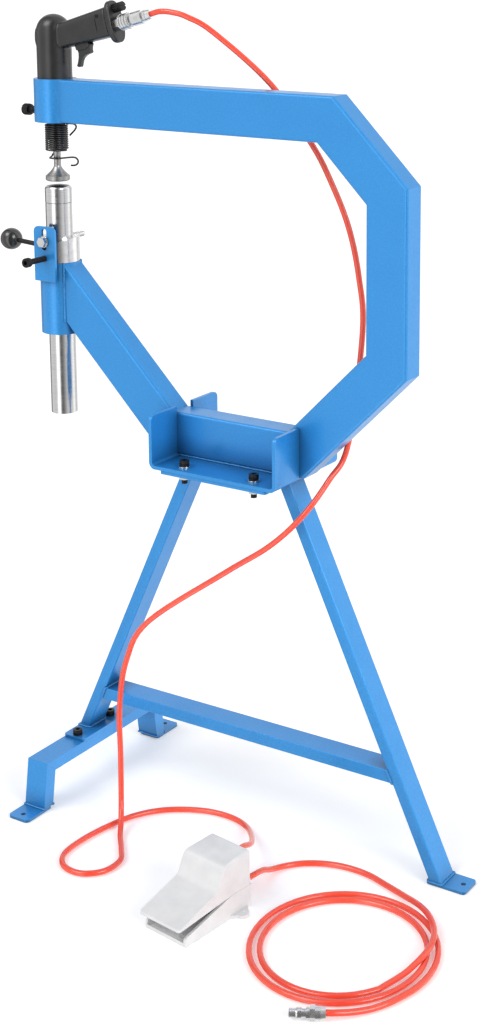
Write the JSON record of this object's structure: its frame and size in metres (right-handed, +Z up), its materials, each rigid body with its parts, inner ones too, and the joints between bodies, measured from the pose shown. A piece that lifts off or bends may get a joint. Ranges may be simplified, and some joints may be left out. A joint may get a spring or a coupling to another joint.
{
  "type": "pneumatic planishing hammer",
  "caption": "C-frame air planishing hammer on a splayed stand, with crowned anvil on a cam-lift post, foot pedal valve and red air hoses.",
  "frame": {"origin": "on the floor, under the middle of the box round the machine and its pedal, hoses left out", "axes": "+Z up; +X from the hammer towards the column; +Y towards the rear, away from the pedal"},
  "size_m": [0.8342, 0.5276, 1.1486],
  "materials": {
    "frame_paint": "light blue gloss enamel",
    "hammer_paint": "black satin enamel",
    "black_oxide": "black oxide",
    "plated_steel": "bright zinc plate",
    "ground_steel": "ground and polished",
    "black_plastic": "semi-gloss",
    "pedal_paint": "light grey enamel",
    "valve_alloy": "die cast",
    "red_hose": "translucent polyurethane"
  },
  "bodies": {
    "frame": {"hammer_holder": "frame_paint", "upper_arm": "frame_paint", "upper_diagonal": "frame_paint", "column": "frame_paint", "lower_diagonal": "frame_paint", "base_segment": "frame_paint", "lower_arm": "frame_paint", "anvil_holder": "frame_paint", "slot_plate": "frame_paint", "saddle_bracket": "frame_paint", "stand_top_plate": "frame_paint", "left_leg": "frame_paint", "right_leg": "frame_paint", "crossbar": "frame_paint", "foot_beam": "frame_paint", "front_foot": "frame_paint", "rear_foot": "frame_paint", "leg_base_plate": "frame_paint", "right_foot_plate": "frame_paint", "saddle_bolts": "black_oxide", "saddle_washers": "black_oxide", "saddle_nuts": "plated_steel", "foot_bolts": "black_oxide", "hammer_housing": "hammer_paint", "steel_barrel": "ground_steel", "handle_end_plate": "black_plastic", "trigger_pin": "black_oxide", "roll_pin": "black_oxide", "valve_spring": "plated_steel", "inlet_nipple": "plated_steel", "coupler_body": "plated_steel", "hose_nut": "plated_steel", "retainer_spring": "black_oxide", "pedal_base": "pedal_paint", "treadle_pins": "black_oxide", "pedal_spring": "plated_steel", "valve_body": "valve_alloy", "port_fittings": "pedal_paint", "tool_hose": "red_hose", "supply_hose": "red_hose", "hose_coil": "red_hose", "supply_tail": "red_hose", "supply_plug": "plated_steel"},
    "clamp_screw": {"barrel_clamp_screw": "black_oxide"},
    "lock_screw": {"lock_screw": "black_oxide"},
    "cam": {"cam_collar": "plated_steel", "lever_rod": "black_oxide", "ball_knob": "black_plastic"},
    "anvil_carrier": {"anvil": "ground_steel", "anvil_post": "ground_steel", "cross_bolt": "plated_steel"},
    "tool": {"planishing_tool": "ground_steel"},
    "piston": {"piston": "ground_steel"},
    "trigger": {"trigger": "black_oxide"},
    "valve_stem": {"valve_stem": "valve_alloy"},
    "regulator": {"regulator_knob": "black_oxide"},
    "sleeve": {"coupler_sleeve": "plated_steel"},
    "treadle": {"pedal_treadle": "pedal_paint"},
    "spool": {"valve_spool": "ground_steel"}
  },
  "joints": [
    {"name": "cam_lever_turn", "type": "hinge", "parent": "frame", "child": "cam", "pos_m": [-0.28409, 0.06625, 0.79], "axis": [0, 0, -1], "range_deg": [-25, 45]},
    {"name": "anvil_lift", "type": "slide", "parent": "frame", "child": "anvil_carrier", "axis": [0, 0, 1], "range_m": [-0.00251, 0.00451]},
    {"name": "lock_screw_release", "type": "slide", "parent": "frame", "child": "lock_screw", "axis": [0, -1, 0], "range_m": [0, 0.0025]},
    {"name": "clamp_screw_release", "type": "slide", "parent": "frame", "child": "clamp_screw", "axis": [-1, 0, 0], "range_m": [0, 0.0025]},
    {"name": "tool_stroke", "type": "slide", "parent": "frame", "child": "tool", "axis": [0, 0, 1], "range_m": [0, 0.006]},
    {"name": "piston_stroke", "type": "slide", "parent": "frame", "child": "piston", "axis": [0, 0, 1], "range_m": [0, 0.045]},
    {"name": "trigger_pull", "type": "hinge", "parent": "frame", "child": "trigger", "pos_m": [-0.22506, 0.06625, 1.09058], "axis": [0, 1, 0], "range_deg": [0, 8], "stiffness_Nm_per_rad": 0.8, "springref_deg": -8.59},
    {"name": "valve_stem_lift", "type": "slide", "parent": "frame", "child": "valve_stem", "axis": [-0.2504, 0, 0.9681], "range_m": [0, 0.00225], "deforming": ["valve_spring"]},
    {"name": "regulator_turn", "type": "hinge", "parent": "frame", "child": "regulator", "pos_m": [-0.17096, 0.06625, 1.13783], "axis": [0.9681, 0, 0.2504], "range_deg": [0, 270]},
    {"name": "sleeve_pull", "type": "slide", "parent": "frame", "child": "sleeve", "axis": [0.9681, 0, 0.2504], "range_m": [0, 0.0035], "stiffness_N_per_m": 800, "springref_m": -0.003},
    {"name": "treadle_press", "type": "hinge", "parent": "frame", "child": "treadle", "pos_m": [0.1256, -0.14356, 0.037], "axis": [0.9903, -0.1392, 0], "range_deg": [0, 8], "stiffness_Nm_per_rad": 4, "springref_deg": -6.88},
    {"name": "spool_push", "type": "slide", "parent": "frame", "child": "spool", "axis": [0, 0, -1], "range_m": [0, 0.0017], "deforming": ["pedal_spring"]}
  ],
  "couplings": [
    {"joint": "anvil_lift", "follows": "cam_lever_turn", "m_per_rad": 0.0057296},
    {"joint": "valve_stem_lift", "follows": "trigger_pull", "m_per_rad": 0.016},
    {"joint": "spool_push", "follows": "treadle_press", "m_per_rad": 0.012}
  ]
}
